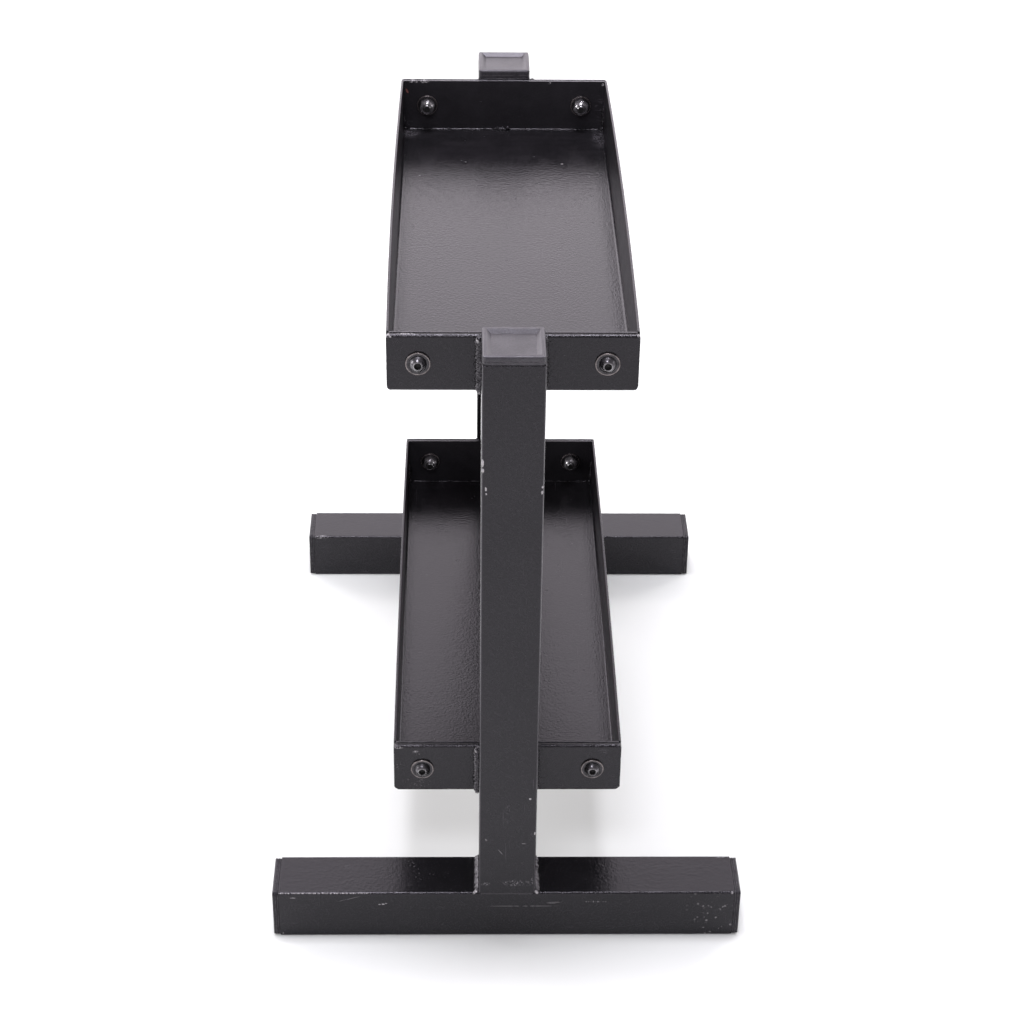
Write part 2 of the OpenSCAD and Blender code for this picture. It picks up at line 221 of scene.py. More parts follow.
def powder(name, seed=0.0, marks=None, chips=1.0, peel=1.0, dust=0.25, pits=0.0, walls=False, painted_fill=0.0):
    """Black semi-gloss powder coat with orange peel, handling smudges, rubbed edges and small chips.
    marks(tree) returns (bare, rub, rust): masks of bare bright marks, of duller rubbed paint and of brown chips."""
    t = Tree(name)
    p = t.p
    big = t.noise(7.0, 3.0, 0.55, w=seed)
    mid = t.noise(46.0, 4.0, 0.6, w=seed + 3.1)
    fine = t.noise(310.0, 3.0, 0.6, w=seed + 5.7)
    peel_h = t.noise(430.0, 1.0, 0.4, w=seed + 1.3)
    peel_2 = t.noise(980.0, 1.0, 0.4, w=seed + 2.6)
    mottle = t.noise(900.0, 2.0, 0.6, w=seed + 7.7)

    # tone, with the fine sparkle of the powder
    tone = t.mix(t.ramp(big, 0.3, 0.7), COAT, COAT_PALE)
    tone = t.mix(t.math("MULTIPLY", t.ramp(mottle, 0.50, 0.70), 0.60), tone, rgb(0.021, 0.0202, 0.023))
    tone = t.mix(t.math("MULTIPLY", t.ramp(mottle, 0.46, 0.34), 0.6), tone, rgb(0.0016, 0.0016, 0.0018))
    # fine dust that settles on faces that look up, in clouds and faint wiping streaks
    geo = t.add("ShaderNodeNewGeometry")
    up = t.xyz(geo.outputs["Normal"])[2]
    streak = t.noise(1.0, 4.0, 0.6, vec=t.mapping(scale=(150.0, 13.0, 60.0)), w=seed)
    cloud = t.math("MULTIPLY", t.ramp(mid, 0.32, 0.72, 0.35, 1.0), t.ramp(streak, 0.30, 0.70, 0.45, 1.0))
    dusty = t.math("MULTIPLY", t.ramp(up, 0.5, 0.95), cloud)
    tone = t.mix(t.math("MULTIPLY", dusty, 0.30 * dust), tone, COAT_DUSTY)

    if painted_fill:
        # painted fill light: a paler, mottled tone over the tray end plates that stands in for light their inner walls
        # lack
        tone = t.mix(t.math("MULTIPLY", t.ramp(mid, 0.25, 0.75, 0.6, 1.0), painted_fill), tone, rgb(0.026, 0.0245, 0.028))

    # rubbed edges, broken up by noise
    edge = t.edge(0.8 * MM, 0.03, 0.25)
    rub = t.math("MULTIPLY", edge, t.ramp(fine, 0.42, 0.64))
    rub = t.math("MULTIPLY", rub, t.ramp(mid, 0.44, 0.64))
    tone = t.mix(t.math("MULTIPLY", rub, 0.65), tone, COAT_RUBBED)
    # chips down to pale metal on the edges
    chip = t.math("MULTIPLY", edge, t.ramp(t.noise(640.0, 2.0, 0.55, w=seed + 9.2), 0.655, 0.680))
    chip = t.math("MULTIPLY", chip, t.ramp(t.noise(21.0, 2.0, 0.5, w=seed + 4.4), 0.50, 0.56))
    chip = t.math("MULTIPLY", chip, chips, clamp=True)
    # nibs of grit caught in the finish, and pin holes
    grit = t.noise(75.0, 1.0, 0.5, w=seed + 8.0)
    cell = t.voronoi(165.0)
    nib = t.math("MULTIPLY", t.ramp(cell, 0.055, 0.035), t.ramp(grit, 0.62, 0.66))
    pin = t.math("MULTIPLY", t.ramp(cell, 0.060, 0.040), t.ramp(grit, 0.40, 0.36))
    tone = t.mix(t.math("MULTIPLY", nib, 0.4), tone, rgb(0.09, 0.085, 0.09))
    tone = t.mix(pin, tone, rgb(0.0008, 0.0008, 0.0008))
    if pits:
        # shallow dimples with dull bottoms, sparse
        wide = t.voronoi(120.0, vec=t.mapping(loc=(0.31, 0.17, 0.0)))
        dimple = t.math("MULTIPLY", t.ramp(wide, 0.17, 0.07), t.ramp(t.noise(52.0, 1.0, 0.5, w=seed + 6.6), 0.585, 0.63))
        dimple = t.math("MULTIPLY", dimple, pits)
        pin = t.any(pin, dimple)

    bright = chip
    if marks:
        bare, rubbed, rust = marks(t)
        if rubbed is not None:
            tone = t.mix(rubbed, tone, COAT_RUBBED)
            rub = t.any(rub, rubbed)
        if rust is not None:
            tone = t.mix(rust, tone, rgb(0.20, 0.085, 0.075))
        if bare is not None:
            bright = t.any(bright, bare)
    tone = t.mix(bright, tone, BARE)
    t.link(tone, p.inputs["Base Color"])

    rough = t.math("ADD", 0.115, t.math("MULTIPLY", t.ramp(mid, 0.3, 0.75), 0.045))
    rough = t.math("ADD", rough, t.math("MULTIPLY", t.ramp(mottle, 0.42, 0.7), 0.05))
    rough = t.math("ADD", rough, t.math("MULTIPLY", t.any(rub, bright, pin), 0.30), clamp=True)
    if walls:
        # the upstands of a tray, less flowed out than its floor
        side = t.ramp(t.math("ABSOLUTE", t.xyz(geo.outputs["Normal"])[1]), 0.80, 0.98)
        rough = t.math("ADD", rough, t.math("MULTIPLY", side, 0.20), clamp=True)
    t.link(rough, p.inputs["Roughness"])
    p.inputs["IOR"].default_value = 1.40
    p.inputs["Specular Tint"].default_value = SPEC_TINT

    n = t.bump(peel_h, 0.19 * MM * peel)
    n = t.bump(peel_2, 0.15 * MM * peel, normal=n)
    n = t.bump(t.math("SUBTRACT", 1.0, t.any(bright, pin)), 0.06 * MM, normal=n)
    n = t.bump(nib, 0.05 * MM, normal=n)
    t.link(n, p.inputs["Normal"])
    return t.mat


def plastic(name, seed=0.0, ior=1.50, pale=1.0):
    """Moulded polyethylene with a sparkly fine grain, a little scuffed at its edges."""
    t = Tree(name)
    p = t.p
    mid = t.noise(60.0, 4.0, 0.6, w=seed)
    grain = t.noise(820.0, 2.0, 0.65, w=seed + 2.0)
    pores = t.voronoi(1050.0)
    tone = t.mix(t.ramp(mid, 0.3, 0.7), rgb(0.021 * pale, 0.0200 * pale, 0.0228 * pale), rgb(0.038 * pale, 0.0360 * pale, 0.0405 * pale))
    tone = t.mix(t.math("MULTIPLY", t.ramp(grain, 0.50, 0.70), 0.45), tone, rgb(0.085, 0.081, 0.088))
    tone = t.mix(t.math("MULTIPLY", t.ramp(grain, 0.46, 0.34), 0.5), tone, rgb(0.010, 0.0095, 0.0105))
    edge = t.edge(0.7 * MM, 0.03, 0.25)
    rub = t.math("MULTIPLY", edge, t.ramp(t.noise(260.0, 3.0, 0.6, w=seed + 6.0), 0.36, 0.6))
    tone = t.mix(t.math("MULTIPLY", rub, 0.7), tone, rgb(0.20, 0.192, 0.202))
    t.link(tone, p.inputs["Base Color"])
    t.link(t.math("ADD", 0.22, t.math("MULTIPLY", grain, 0.24)), p.inputs["Roughness"])
    p.inputs["IOR"].default_value = ior
    p.inputs["Specular Tint"].default_value = SPEC_TINT
    n = t.bump(grain, 0.085 * MM)
    n = t.bump(pores, 0.015 * MM, normal=n)
    n = t.bump(mid, 0.20 * MM, normal=n)
    t.link(n, p.inputs["Normal"])
    return t.mat


def zinc(name, seed=0.0, base=(0.060, 0.058, 0.062), rough0=0.17, rubbed=0.8, sockets=False, rim=False):
    """Black zinc plate: dark metal, brighter where edges are rubbed. sockets paints shade inside the drive
    sockets of the bolts and round the foot of their domes, and a painted highlight ring round each socket. rim paints a
    bright ring on the washer's outer edge, partly a painted highlight and partly brown wear."""
    t = Tree(name)
    p = t.p
    mid = t.noise(180.0, 3.0, 0.6, w=seed)
    fine = t.noise(1100.0, 3.0, 0.6, w=seed + 2.5)
    lighter = tuple(min(1.0, c * 1.7) for c in base)
    tone = t.mix(t.ramp(mid, 0.35, 0.7), rgb(*base), rgb(*lighter))
    edge = t.edge(0.45 * MM, 0.03, 0.2)
    rub = t.math("MULTIPLY", edge, t.ramp(fine, 0.30, 0.62))
    tone = t.mix(t.math("MULTIPLY", rub, rubbed), tone, rgb(0.46, 0.45, 0.46))
    rough = t.math("ADD", rough0, t.math("MULTIPLY", fine, 0.14))
    metal = 0.9
    if sockets or rim:
        x, y, z = t.xyz()
        ay = t.math("SUBTRACT", t.math("ABSOLUTE", y), BOLT_Y)
        az = t.math("MINIMUM", t.math("ABSOLUTE", t.math("SUBTRACT", z, BOLT_Z["upper"])),
                    t.math("ABSOLUTE", t.math("SUBTRACT", z, BOLT_Z["lower"])))
        rad = t.math("SQRT", t.math("ADD", t.math("MULTIPLY", ay, ay), t.math("MULTIPLY", az, az)))
    if rim:
        # the washer's outer edge: a bright ring, partly a painted highlight and partly brown wear
        ring = t.math("MULTIPLY", t.ramp(rad, 8.9 * MM, 9.3 * MM), t.ramp(mid, 0.30, 0.62, 0.35, 1.0))
        tone = t.mix(t.math("MULTIPLY", ring, 0.55), tone, rgb(0.36, 0.315, 0.305))
    if sockets:
        # painted shade inside the drive socket and round the foot of the dome, and a painted highlight ring round the
        # socket
        painted_socket_shade = t.ramp(rad, 2.75 * MM, 3.15 * MM, 1.0, 0.0)
        ring = t.math("MULTIPLY", t.window(rad, 3.3 * MM, 3.9 * MM, 0.25 * MM), t.ramp(fine, 0.35, 0.6, 0.5, 1.0))
        foot = t.ramp(rad, 5.4 * MM, 6.3 * MM)
        tone = t.mix(t.math("MULTIPLY", ring, 0.75), tone, rgb(0.34, 0.335, 0.34))
        tone = t.mix(t.math("MULTIPLY", foot, 0.6), tone, rgb(0.012, 0.012, 0.013))
        tone = t.mix(painted_socket_shade, tone, rgb(0.004, 0.004, 0.004))
        rough = t.math("ADD", rough, t.math("MULTIPLY", t.any(painted_socket_shade, t.math("MULTIPLY", foot, 0.4)), 0.45), clamp=True)
        metal = t.math("SUBTRACT", 0.9, t.math("MULTIPLY", painted_socket_shade, 0.85))
    t.link(tone, p.inputs["Base Color"])
    t.put(p.inputs["Metallic"], metal)
    t.link(rough, p.inputs["Roughness"])
    n = t.bump(fine, 0.012 * MM)
    n = t.bump(mid, 0.03 * MM, normal=n)
    t.link(n, p.inputs["Normal"])
    return t.mat


def weld_metal(name, seed=0.0, pale=1.0, lumps=1.0, ior=1.52, bare=None):
    """Weld bead under the same coat: glossier crests, pitted and uneven. bare(tree) is a mask of tips painted bright as
    highlights.
    """
    t = Tree(name)
    p = t.p
    mid = t.noise(150.0, 4.0, 0.6, w=seed)
    fine = t.noise(700.0, 3.0, 0.65, w=seed + 1.0)
    tone = t.mix(t.ramp(mid, 0.3, 0.7), rgb(0.005, 0.0048, 0.0056), rgb(0.005 + 0.027 * pale, 0.0048 + 0.0254 * pale, 0.0056 + 0.0279 * pale))
    tone = t.mix(t.math("MULTIPLY", t.ramp(fine, 0.56, 0.70), 0.6 * pale), tone, rgb(0.16, 0.153, 0.16))
    # painted highlights on the bead tips, in the bare-metal colour
    if bare:
        tone = t.mix(bare(t), tone, BARE)
    t.link(tone, p.inputs["Base Color"])
    t.link(t.math("ADD", 0.09, t.math("MULTIPLY", mid, 0.22)), p.inputs["Roughness"])
    p.inputs["IOR"].default_value = ior
    p.inputs["Specular Tint"].default_value = SPEC_TINT
    n = t.bump(mid, 0.25 * MM * lumps)
    n = t.bump(fine, 0.05 * MM * lumps, normal=n)
    t.link(n, p.inputs["Normal"])
    return t.mat


def nylon(name):
    t = Tree(name)
    p = t.p
    mid = t.noise(300.0, 3.0, 0.6)
    t.link(t.mix(mid, rgb(0.010, 0.010, 0.011), rgb(0.030, 0.029, 0.031)), p.inputs["Base Color"])
    t.link(t.math("ADD", 0.32, t.math("MULTIPLY", mid, 0.2)), p.inputs["Roughness"])
    t.link(t.bump(mid, 0.03 * MM), p.inputs["Normal"])
    return t.mat


# Local wear and painted highlights, in the row frame.

def foot_tip_highlights(t):
    """Painted highlights: bright, bare-coloured tips where a foot's beads end at the faces of the uprights."""
    grain = t.ramp(t.noise(1500.0, 2.0, 0.6, w=31.0), 0.30, 0.50)
    face = FRAME_X + TUBE - 1.2 * MM
    spots = t.any(*(t.dab((s * face, s * y, FOOT_TOP + 0.5 * MM), (0.0024, 0.0026, 0.0012), (k * 0.5, 0, 0))
                    for s in (-1, 1) for y, k in ((-0.0283, 1), (0.0262, -1))))
    return t.math("MULTIPLY", t.math("MULTIPLY", spots, grain), 0.75)


def bracket_tip_highlights(t):
    """Painted highlights: bright, bare-coloured spots at the head and the drip of the heavier bracket beads."""
    grain = t.ramp(t.noise(1300.0, 2.0, 0.6, w=33.0), 0.36, 0.54)
    spots = []
    for tier in ("upper", "lower"):
        low, high = BRACKETS[tier]
        for s in (-1, 1):
            spots.append(t.dab((s * (TUBE_IN_X + 2.6 * MM), -s * (TUBE + 3.0 * MM), high.z - 3.6 * MM), (0.0022, 0.0014, 0.0024), (0.5, 0, 0)))
            spots.append(t.dab((s * (TUBE_IN_X + 2.6 * MM), -s * (TUBE + 1.4 * MM), low.z - 0.8 * MM), (0.0026, 0.0009, 0.0016)))
    return t.math("MULTIPLY", t.math("MULTIPLY", t.any(*spots), grain), 0.7)


def foot_marks(side, seed):
    """Paint knocked off along the outer top edge, pits near one end, drag scratches and small knocks."""
    def marks(t):
        x, y, z = t.xyz()
        xs = t.math("MULTIPLY", x, side)
        ys = t.math("MULTIPLY", y, side)
        face_x = FRAME_X + TUBE
        outer = t.ramp(xs, face_x - 1.10 * MM, face_x - 0.80 * MM)
        top = t.ramp(z, FOOT_TOP - 1.10 * MM, FOOT_TOP - 0.80 * MM)
        line = t.math("MULTIPLY", outer, top)
        dash_n = t.noise(1.0, 3.0, 0.75, vec=t.mapping(scale=(0.0, 560.0, 0.0)), w=seed)
        along = t.math("MULTIPLY", t.window(ys, -0.204, -0.128, 0.010), t.ramp(dash_n, 0.46, 0.56))
        few = t.math("MULTIPLY", t.window(ys, -0.128, 0.20, 0.01), t.ramp(dash_n, 0.62, 0.68, 0.0, 0.55))
        worn = t.math("MULTIPLY", line, t.any(along, few))
        worn = t.math("MULTIPLY", worn, t.ramp(t.noise(900.0, 2.0, 0.6, w=seed + 1), 0.30, 0.62, 0.35, 1.0))
        face = t.ramp(xs, face_x - 0.5 * MM, face_x - 0.1 * MM)
        fx = side * face_x
        # pits on one end of the outer face
        pit = t.ramp(t.voronoi(240.0), 0.34, 0.20)
        pit = t.math("MULTIPLY", pit, t.ramp(t.noise(130.0, 2.0, 0.6, w=seed + 5), 0.50, 0.56))
        pit = t.math("MULTIPLY", pit, t.window(ys, 0.180, 0.200, 0.026))
        pit = t.math("MULTIPLY", t.math("MULTIPLY", pit, face), 0.22)
        # drag scratches along the foot, a slanting hair line and a row of dashes
        fine = t.ramp(t.noise(1.0, 2.0, 0.6, vec=t.mapping(scale=(1.0, 210.0, 60.0)), w=seed + 7), 0.36, 0.50)
        drag = t.any(
            t.dab((fx, side * 0.0140, 0.0346), (0.004, 0.0370, 0.00055)),
            t.dab((fx, side * 0.0420, 0.0390), (0.004, 0.0080, 0.00060), (0.02, 0, 0)),
            t.dab((fx, side * 0.0400, 0.0378), (0.004, 0.0050, 0.00045)),
            t.dab((fx, side * -0.1405, 0.0433), (0.004, 0.0125, 0.00050), (0.30, 0, 0)),
        )
        scratch = t.math("MULTIPLY", fine, drag)
        dashes = t.math("MULTIPLY", t.dab((fx, side * 0.0790, 0.0396), (0.004, 0.0125, 0.0009)), t.ramp(dash_n, 0.50, 0.58))
        tick = t.any(
            t.dab((fx, side * -0.1100, 0.0372), (0.004, 0.0016, 0.0010)),
            t.dab((fx, side * -0.1132, 0.0368), (0.004, 0.0012, 0.0007)),
            t.dab((fx, side * -0.1075, 0.0380), (0.004, 0.0012, 0.0007)),
            t.dab((fx, side * -0.190, 0.0445), (0.004, 0.0030, 0.0005)),
            t.dab((fx, side * -0.2, 0.0030), (0.004, 0.0008, 0.0008)),
            t.dab((side * (face_x - 0.6 * MM), side * 0.2005, FOOT_TOP - 0.6 * MM), (0.0016, 0.0012, 0.0016)),
            t.dab((side * (face_x - 1.0 * MM), side * -0.0290, FOOT_TOP - 0.3 * MM), (0.0022, 0.0020, 0.0012), (0.5, 0, 0)),
            t.dab((side * (face_x - 1.0 * MM), side * 0.0265, FOOT_TOP - 0.3 * MM), (0.0022, 0.0018, 0.0012), (-0.5, 0, 0)),
        )
        tick = t.math("MULTIPLY", tick, t.ramp(t.noise(1200.0, 2.0, 0.6, w=seed + 3), 0.32, 0.55))
        # paint worn through at one end of the inner top edge
        inner = t.dab((side * (FRAME_X - TUBE + 0.8 * MM), side * 0.1945, FOOT_TOP - 0.8 * MM), (0.0026, 0.0085, 0.0026))
        inner = t.math("MULTIPLY", inner, t.ramp(t.noise(380.0, 3.0, 0.7, w=seed + 15), 0.46, 0.60))
        # specks of spatter under the coat
        speck = t.math("MULTIPLY", t.ramp(t.voronoi(270.0, vec=t.mapping(loc=(0.07, 0.03, 0.11))), 0.27, 0.15), t.ramp(t.noise(110.0, 2.0, 0.6, w=seed + 21), 0.50, 0.56))
        speck = t.math("MULTIPLY", speck, t.dab((side * (FRAME_X - 6 * MM), side * -0.0760, FOOT_TOP), (0.0170, 0.0340, 0.003), soft=0.6))
        bare = t.any(worn, pit, t.math("MULTIPLY", speck, 0.10), t.math("MULTIPLY", t.math("MULTIPLY", scratch, face), 0.16),
                     t.math("MULTIPLY", dashes, 0.35), t.math("MULTIPLY", tick, 0.6), t.math("MULTIPLY", inner, 0.45))
        # broad hair lines of dulled paint
        h = t.mapping(scale=(1.0, 60.0, 900.0), rot=(0.11, 0, 0))
        hair = t.ramp(t.noise(1.0, 1.0, 0.5, vec=h, w=seed + 12), 0.735, 0.76)
        hair = t.math("MULTIPLY", hair, t.ramp(t.noise(16.0, 2.0, 0.5, w=seed + 13), 0.50, 0.60))
        scuff = t.ramp(t.noise(1.0, 3.0, 0.6, vec=t.mapping(scale=(60.0, 60.0, 260.0)), w=seed + 11), 0.58, 0.74)
        return bare, t.any(t.math("MULTIPLY", scuff, 0.10), t.math("MULTIPLY", hair, 0.28)), None
    return marks


def upright_marks(side, seed):
    """Scuffs round the bottom of the upright, one clean scratch, fine hair lines on its faces, and a painted highlight
    along its long corners.
    """
    def marks(t):
        x, y, z = t.xyz()
        face_x = side * (FRAME_X + TUBE)
        blot = t.ramp(t.noise(560.0, 3.0, 0.75, w=seed), 0.50, 0.60)
        where = t.any(
            t.dab((face_x, side * -0.0195, FOOT_TOP + 0.0105), (0.006, 0.0055, 0.0028)),
            t.dab((face_x, side * 0.0060, FOOT_TOP + 0.0120), (0.006, 0.0120, 0.0045)),
            t.dab((face_x, side * 0.0150, FOOT_TOP + 0.0110), (0.006, 0.0080, 0.0035)),
            t.dab((face_x, side * 0.0222, FOOT_TOP + 0.0140), (0.006, 0.0013, 0.0060)),
        )
        blot = t.math("MULTIPLY", blot, where)
        scratch = t.any(
            t.dab((face_x, side * -0.0062, FOOT_TOP + 0.0475), (0.004, 0.0040, 0.00055), (-0.95, 0, 0)),
            t.dab((face_x, side * 0.0141, FOOT_TOP + 0.0570), (0.004, 0.0022, 0.0007)),
            t.dab((face_x, side * -0.0189, FOOT_TOP + 0.0612), (0.004, 0.0010, 0.0016), (0.6, 0, 0)),
        )
        scribble = t.math("MULTIPLY", t.any(
            t.dab((face_x, side * -0.0005, 0.1450), (0.004, 0.0032, 0.0060)),
            t.dab((face_x, side * -0.0017, 0.1325), (0.004, 0.0030, 0.0045)),
            t.dab((face_x, side * 0.0215, 0.1160), (0.004, 0.0022, 0.0060))), t.ramp(t.noise(900.0, 3.0, 0.75, w=seed + 9), 0.52, 0.60))
        nick = t.any(
            t.dab((face_x, side * 0.0190, 0.1572), (0.004, 0.0013, 0.0014)),
            t.dab((face_x, side * -0.0240, 0.4960), (0.004, 0.0013, 0.0042)),
            t.dab((face_x, side * -0.0238, 0.4890), (0.004, 0.0014, 0.0026)),
            t.dab((face_x, side * -0.0212, 0.4722), (0.004, 0.0010, 0.0024)),
            t.dab((face_x, side * -0.0210, 0.4675), (0.004, 0.0008, 0.0012)),
            t.dab((face_x, side * 0.0238, 0.4740), (0.004, 0.0010, 0.0016)),
            t.dab((face_x, side * 0.0234, 0.4690), (0.004, 0.0010, 0.0020)),
            t.dab((face_x, side * 0.0238, 0.1185), (0.004, 0.0010, 0.0020)))
        nick = t.math("MULTIPLY", nick, t.ramp(t.noise(1100.0, 2.0, 0.6, w=seed + 10), 0.34, 0.54))
        h = t.mapping(scale=(1.0, 700.0, 26.0), rot=(0.55, 0, 0))
        hair = t.ramp(t.noise(1.0, 1.0, 0.5, vec=h, w=seed + 2), 0.715, 0.74)
        hair = t.math("MULTIPLY", hair, t.ramp(t.noise(14.0, 2.0, 0.5, w=seed + 8), 0.52, 0.60))
        # knocks on the two outer vertical corners
        cx = t.ramp(t.math("MULTIPLY", x, side), FRAME_X + TUBE - 1.3 * MM, FRAME_X + TUBE - 0.9 * MM)
        cy = t.ramp(t.math("ABSOLUTE", y), TUBE - 1.3 * MM, TUBE - 0.9 * MM)
        knock = t.ramp(t.noise(1.0, 3.0, 0.7, vec=t.mapping(scale=(0.0, 40.0, 330.0)), w=seed + 5), 0.62, 0.68)
        where2 = t.any(t.window(z, 0.448, 0.476, 0.006), t.window(z, 0.545, 0.575, 0.006), t.window(z, 0.085, 0.11, 0.004))
        knock = t.math("MULTIPLY", t.math("MULTIPLY", cx, cy), t.math("MULTIPLY", knock, where2))
        bare = t.any(t.math("MULTIPLY", scratch, 0.20), t.math("MULTIPLY", knock, 0.5), t.math("MULTIPLY", blot, 0.12),
                     t.math("MULTIPLY", nick, 0.75))
        # painted highlight: the long vertical corners are lightened to stand for the light line along their rounding
        painted_corner_highlight = t.math("MULTIPLY", t.math("MULTIPLY", cx, cy), 0.55)
        return bare, t.any(t.math("MULTIPLY", blot, 0.95), t.math("MULTIPLY", hair, 0.40), t.math("MULTIPLY", scribble, 0.45), painted_corner_highlight), None
    return marks


def tray_marks(seed):
    """Fine handling scratches on a tray floor where weights slide in, and rubbed rims."""
    def marks(t):
        rub = None
        for i, a in enumerate((0.25, -0.6, 1.35)):
            v = t.mapping(scale=(6.0, 900.0, 1.0), rot=(0, 0, a))
            s = t.ramp(t.noise(1.0, 1.0, 0.5, vec=v, w=seed + i), 0.72, 0.745)
            s = t.math("MULTIPLY", s, t.ramp(t.noise(9.0, 2.0, 0.5, w=seed + 5 + i), 0.50, 0.60))
            rub = s if rub is None else t.any(rub, s)
        floor = PANS["upper"][0].z + SHEET
        x0, in_y = PANS["upper"][1].x, TRAY_HALF - SHEET
        haze = t.any(
            t.dab((-x0 + 8 * MM, in_y - 1 * MM, floor + 20 * MM), (0.010, 0.006, 0.024), soft=0.8),
            t.dab((-x0 + 22 * MM, in_y - 5 * MM, floor), (0.030, 0.010, 0.004), soft=0.8),
            t.dab((-x0 + 12 * MM, -in_y + 6 * MM, floor), (0.014, 0.014, 0.004), soft=0.8),
        )
        haze = t.math("MULTIPLY", haze, t.ramp(t.noise(260.0, 4.0, 0.7, w=seed + 20), 0.36, 0.66))
        spot = t.dab((-0.1751, 0.0545, floor), (0.0014, 0.0014, 0.002))
        return t.math("MULTIPLY", spot, 0.3), t.any(t.math("MULTIPLY", rub, 0.30), t.math("MULTIPLY", haze, 0.75)), None
    return marks


def end_marks(seed):
    """Hair scratches, bare corners and a few chips on the end plates and brackets."""
    def marks(t):
        x, y, z = t.xyz()
        s = t.mapping(scale=(1.0, 160.0, 900.0), rot=(0.9, 0, 0))
        scratch = t.ramp(t.noise(1.0, 1.0, 0.5, vec=s, w=seed), 0.73, 0.75)
        scratch = t.math("MULTIPLY", scratch, t.ramp(t.noise(40.0, 1.0, 0.5, w=seed + 3), 0.55, 0.62))
        v = t.mapping(scale=(1.0, 620.0, 30.0))
        drip = t.ramp(t.noise(1.0, 2.0, 0.5, vec=v, w=seed + 4), 0.64, 0.70)
        top, h = BRACKETS["upper"][1].z, TRAY_HALF
        near = FRAME_X - TUBE
        inner = ENDS["upper"][0].x
        drip = t.math("MULTIPLY", drip, t.dab((near, 0.0895, top - 0.012), (0.004, 0.008, 0.012)))
        cell = t.ramp(t.noise(700.0, 2.0, 0.6, w=seed + 6), 0.46, 0.56)
        dots = t.ramp(t.noise(620.0, 2.0, 0.6, w=seed + 16), 0.60, 0.66)
        low_z = BRACKETS["lower"][0].z
        dusted = t.math("MULTIPLY", dots, t.any(
            t.dab((near, -0.0785, 0.1685), (0.004, 0.0070, 0.0050), soft=0.7),
            t.dab((near, -0.0800, 0.1345), (0.004, 0.0180, 0.0085), soft=0.7),
            t.dab((near, -0.0960, 0.1550), (0.004, 0.0040, 0.0120), soft=0.7)))
        lip = t.math("MULTIPLY", t.dab((near - 1.0 * MM, -0.0470, low_z + 1.0 * MM), (0.0030, 0.0260, 0.0018), soft=0.5), cell)
        smear = t.math("MULTIPLY", t.ramp(t.noise(1.0, 3.0, 0.6, vec=t.mapping(scale=(1.0, 160.0, 700.0)), w=seed + 18), 0.50, 0.62), t.any(
            t.dab((near, 0.0850, 0.1700), (0.004, 0.0075, 0.0030), soft=0.6),
            t.dab((-inner, h - 7.0 * MM, top - 27.0 * MM), (0.006, 0.0060, 0.0180), soft=0.8),
            t.dab((-inner, -h + 7.0 * MM, top - 44.0 * MM), (0.006, 0.0080, 0.0040), soft=0.8)))
        low_top = BRACKETS["lower"][1].z
        bare = t.any(
            t.dab((near - 1.0 * MM, -h + 0.8 * MM, top - 0.5 * MM), (0.0040, 0.0030, 0.0022)),
            t.dab((near, -h + 3.0 * MM, top - 1.6 * MM), (0.0030, 0.0022, 0.0010)),
            t.dab((near - 2.0 * MM, h - 0.8 * MM, top - 0.6 * MM), (0.0040, 0.0022, 0.0016)),
            t.dab((near, -h + 4.0 * MM, low_top - 2.0 * MM), (0.0030, 0.0050, 0.0012)),
            t.dab((near, -h + 19.0 * MM, low_top - 6.5 * MM), (0.0030, 0.0030, 0.0014)),
            t.dab((-inner, -h + 12.0 * MM, top - 1.0 * MM), (0.0080, 0.0050, 0.0014)),
            t.dab((-inner, -h + 22.0 * MM, top - 1.0 * MM), (0.0080, 0.0060, 0.0014)),
            t.dab((-inner, h - 4.0 * MM, top - 3.0 * MM), (0.0080, 0.0018, 0.0018)),
            t.dab((-inner, 0.0440, top - 2.0 * MM), (0.0080, 0.0026, 0.0010), (0.6, 0, 0)),
        )
        bare = t.any(bare, t.dab((near - 3.2 * MM, -0.0850, top - 0.2 * MM), (0.0022, 0.0080, 0.0010)))
        bare = t.math("MULTIPLY", t.math("MULTIPLY", bare, cell), 0.55)
        bare = t.any(bare, t.math("MULTIPLY", dusted, 0.16), t.math("MULTIPLY", lip, 0.20))
        rust = t.dab((-inner, -h + 5.4 * MM, top - 10.5 * MM), (0.0080, 0.0012, 0.0030), (0.45, 0, 0))
        return bare, t.any(t.math("MULTIPLY", scratch, 0.35), t.math("MULTIPLY", drip, 0.45), t.math("MULTIPLY", smear, 0.65)), rust
    return marks


# ---------------------------------------------------------------- CAD nodes

def dress(name, mat, bevel=0.0, angle=32.0, segments=2, whole=True):
    """Gives a CAD node its material, smooth shading and soft edges."""
    o = nodes[name]
    o.data.materials.clear()
    o.data.materials.append(mat)
    o.data.polygons.foreach_set("use_smooth", [True] * len(o.data.polygons))
    for extra in ("custom_normal", "sharp_edge", "sharp_face"):
        if extra in o.data.attributes:
            o.data.attributes.remove(o.data.attributes[extra])
    weld = o.modifiers.new("weld", "WELD")
    weld.merge_threshold = 0.00001 if whole else 0.000001
    if whole:
        flat = o.modifiers.new("whole_faces", "DECIMATE")
        flat.decimate_type = "DISSOLVE"
        flat.angle_limit = math.radians(0.05)
    if bevel:
        b = o.modifiers.new("soft_edges", "BEVEL")
        b.width = bevel * MM
        b.segments = segments
        b.limit_method = "ANGLE"
        b.angle_limit = math.radians(angle)
        b.miter_outer = "MITER_ARC"
        b.use_clamp_overlap = True
    w = o.modifiers.new("even_normals", "WEIGHTED_NORMAL")
    w.keep_sharp = True
    w.weight = 90
    return o


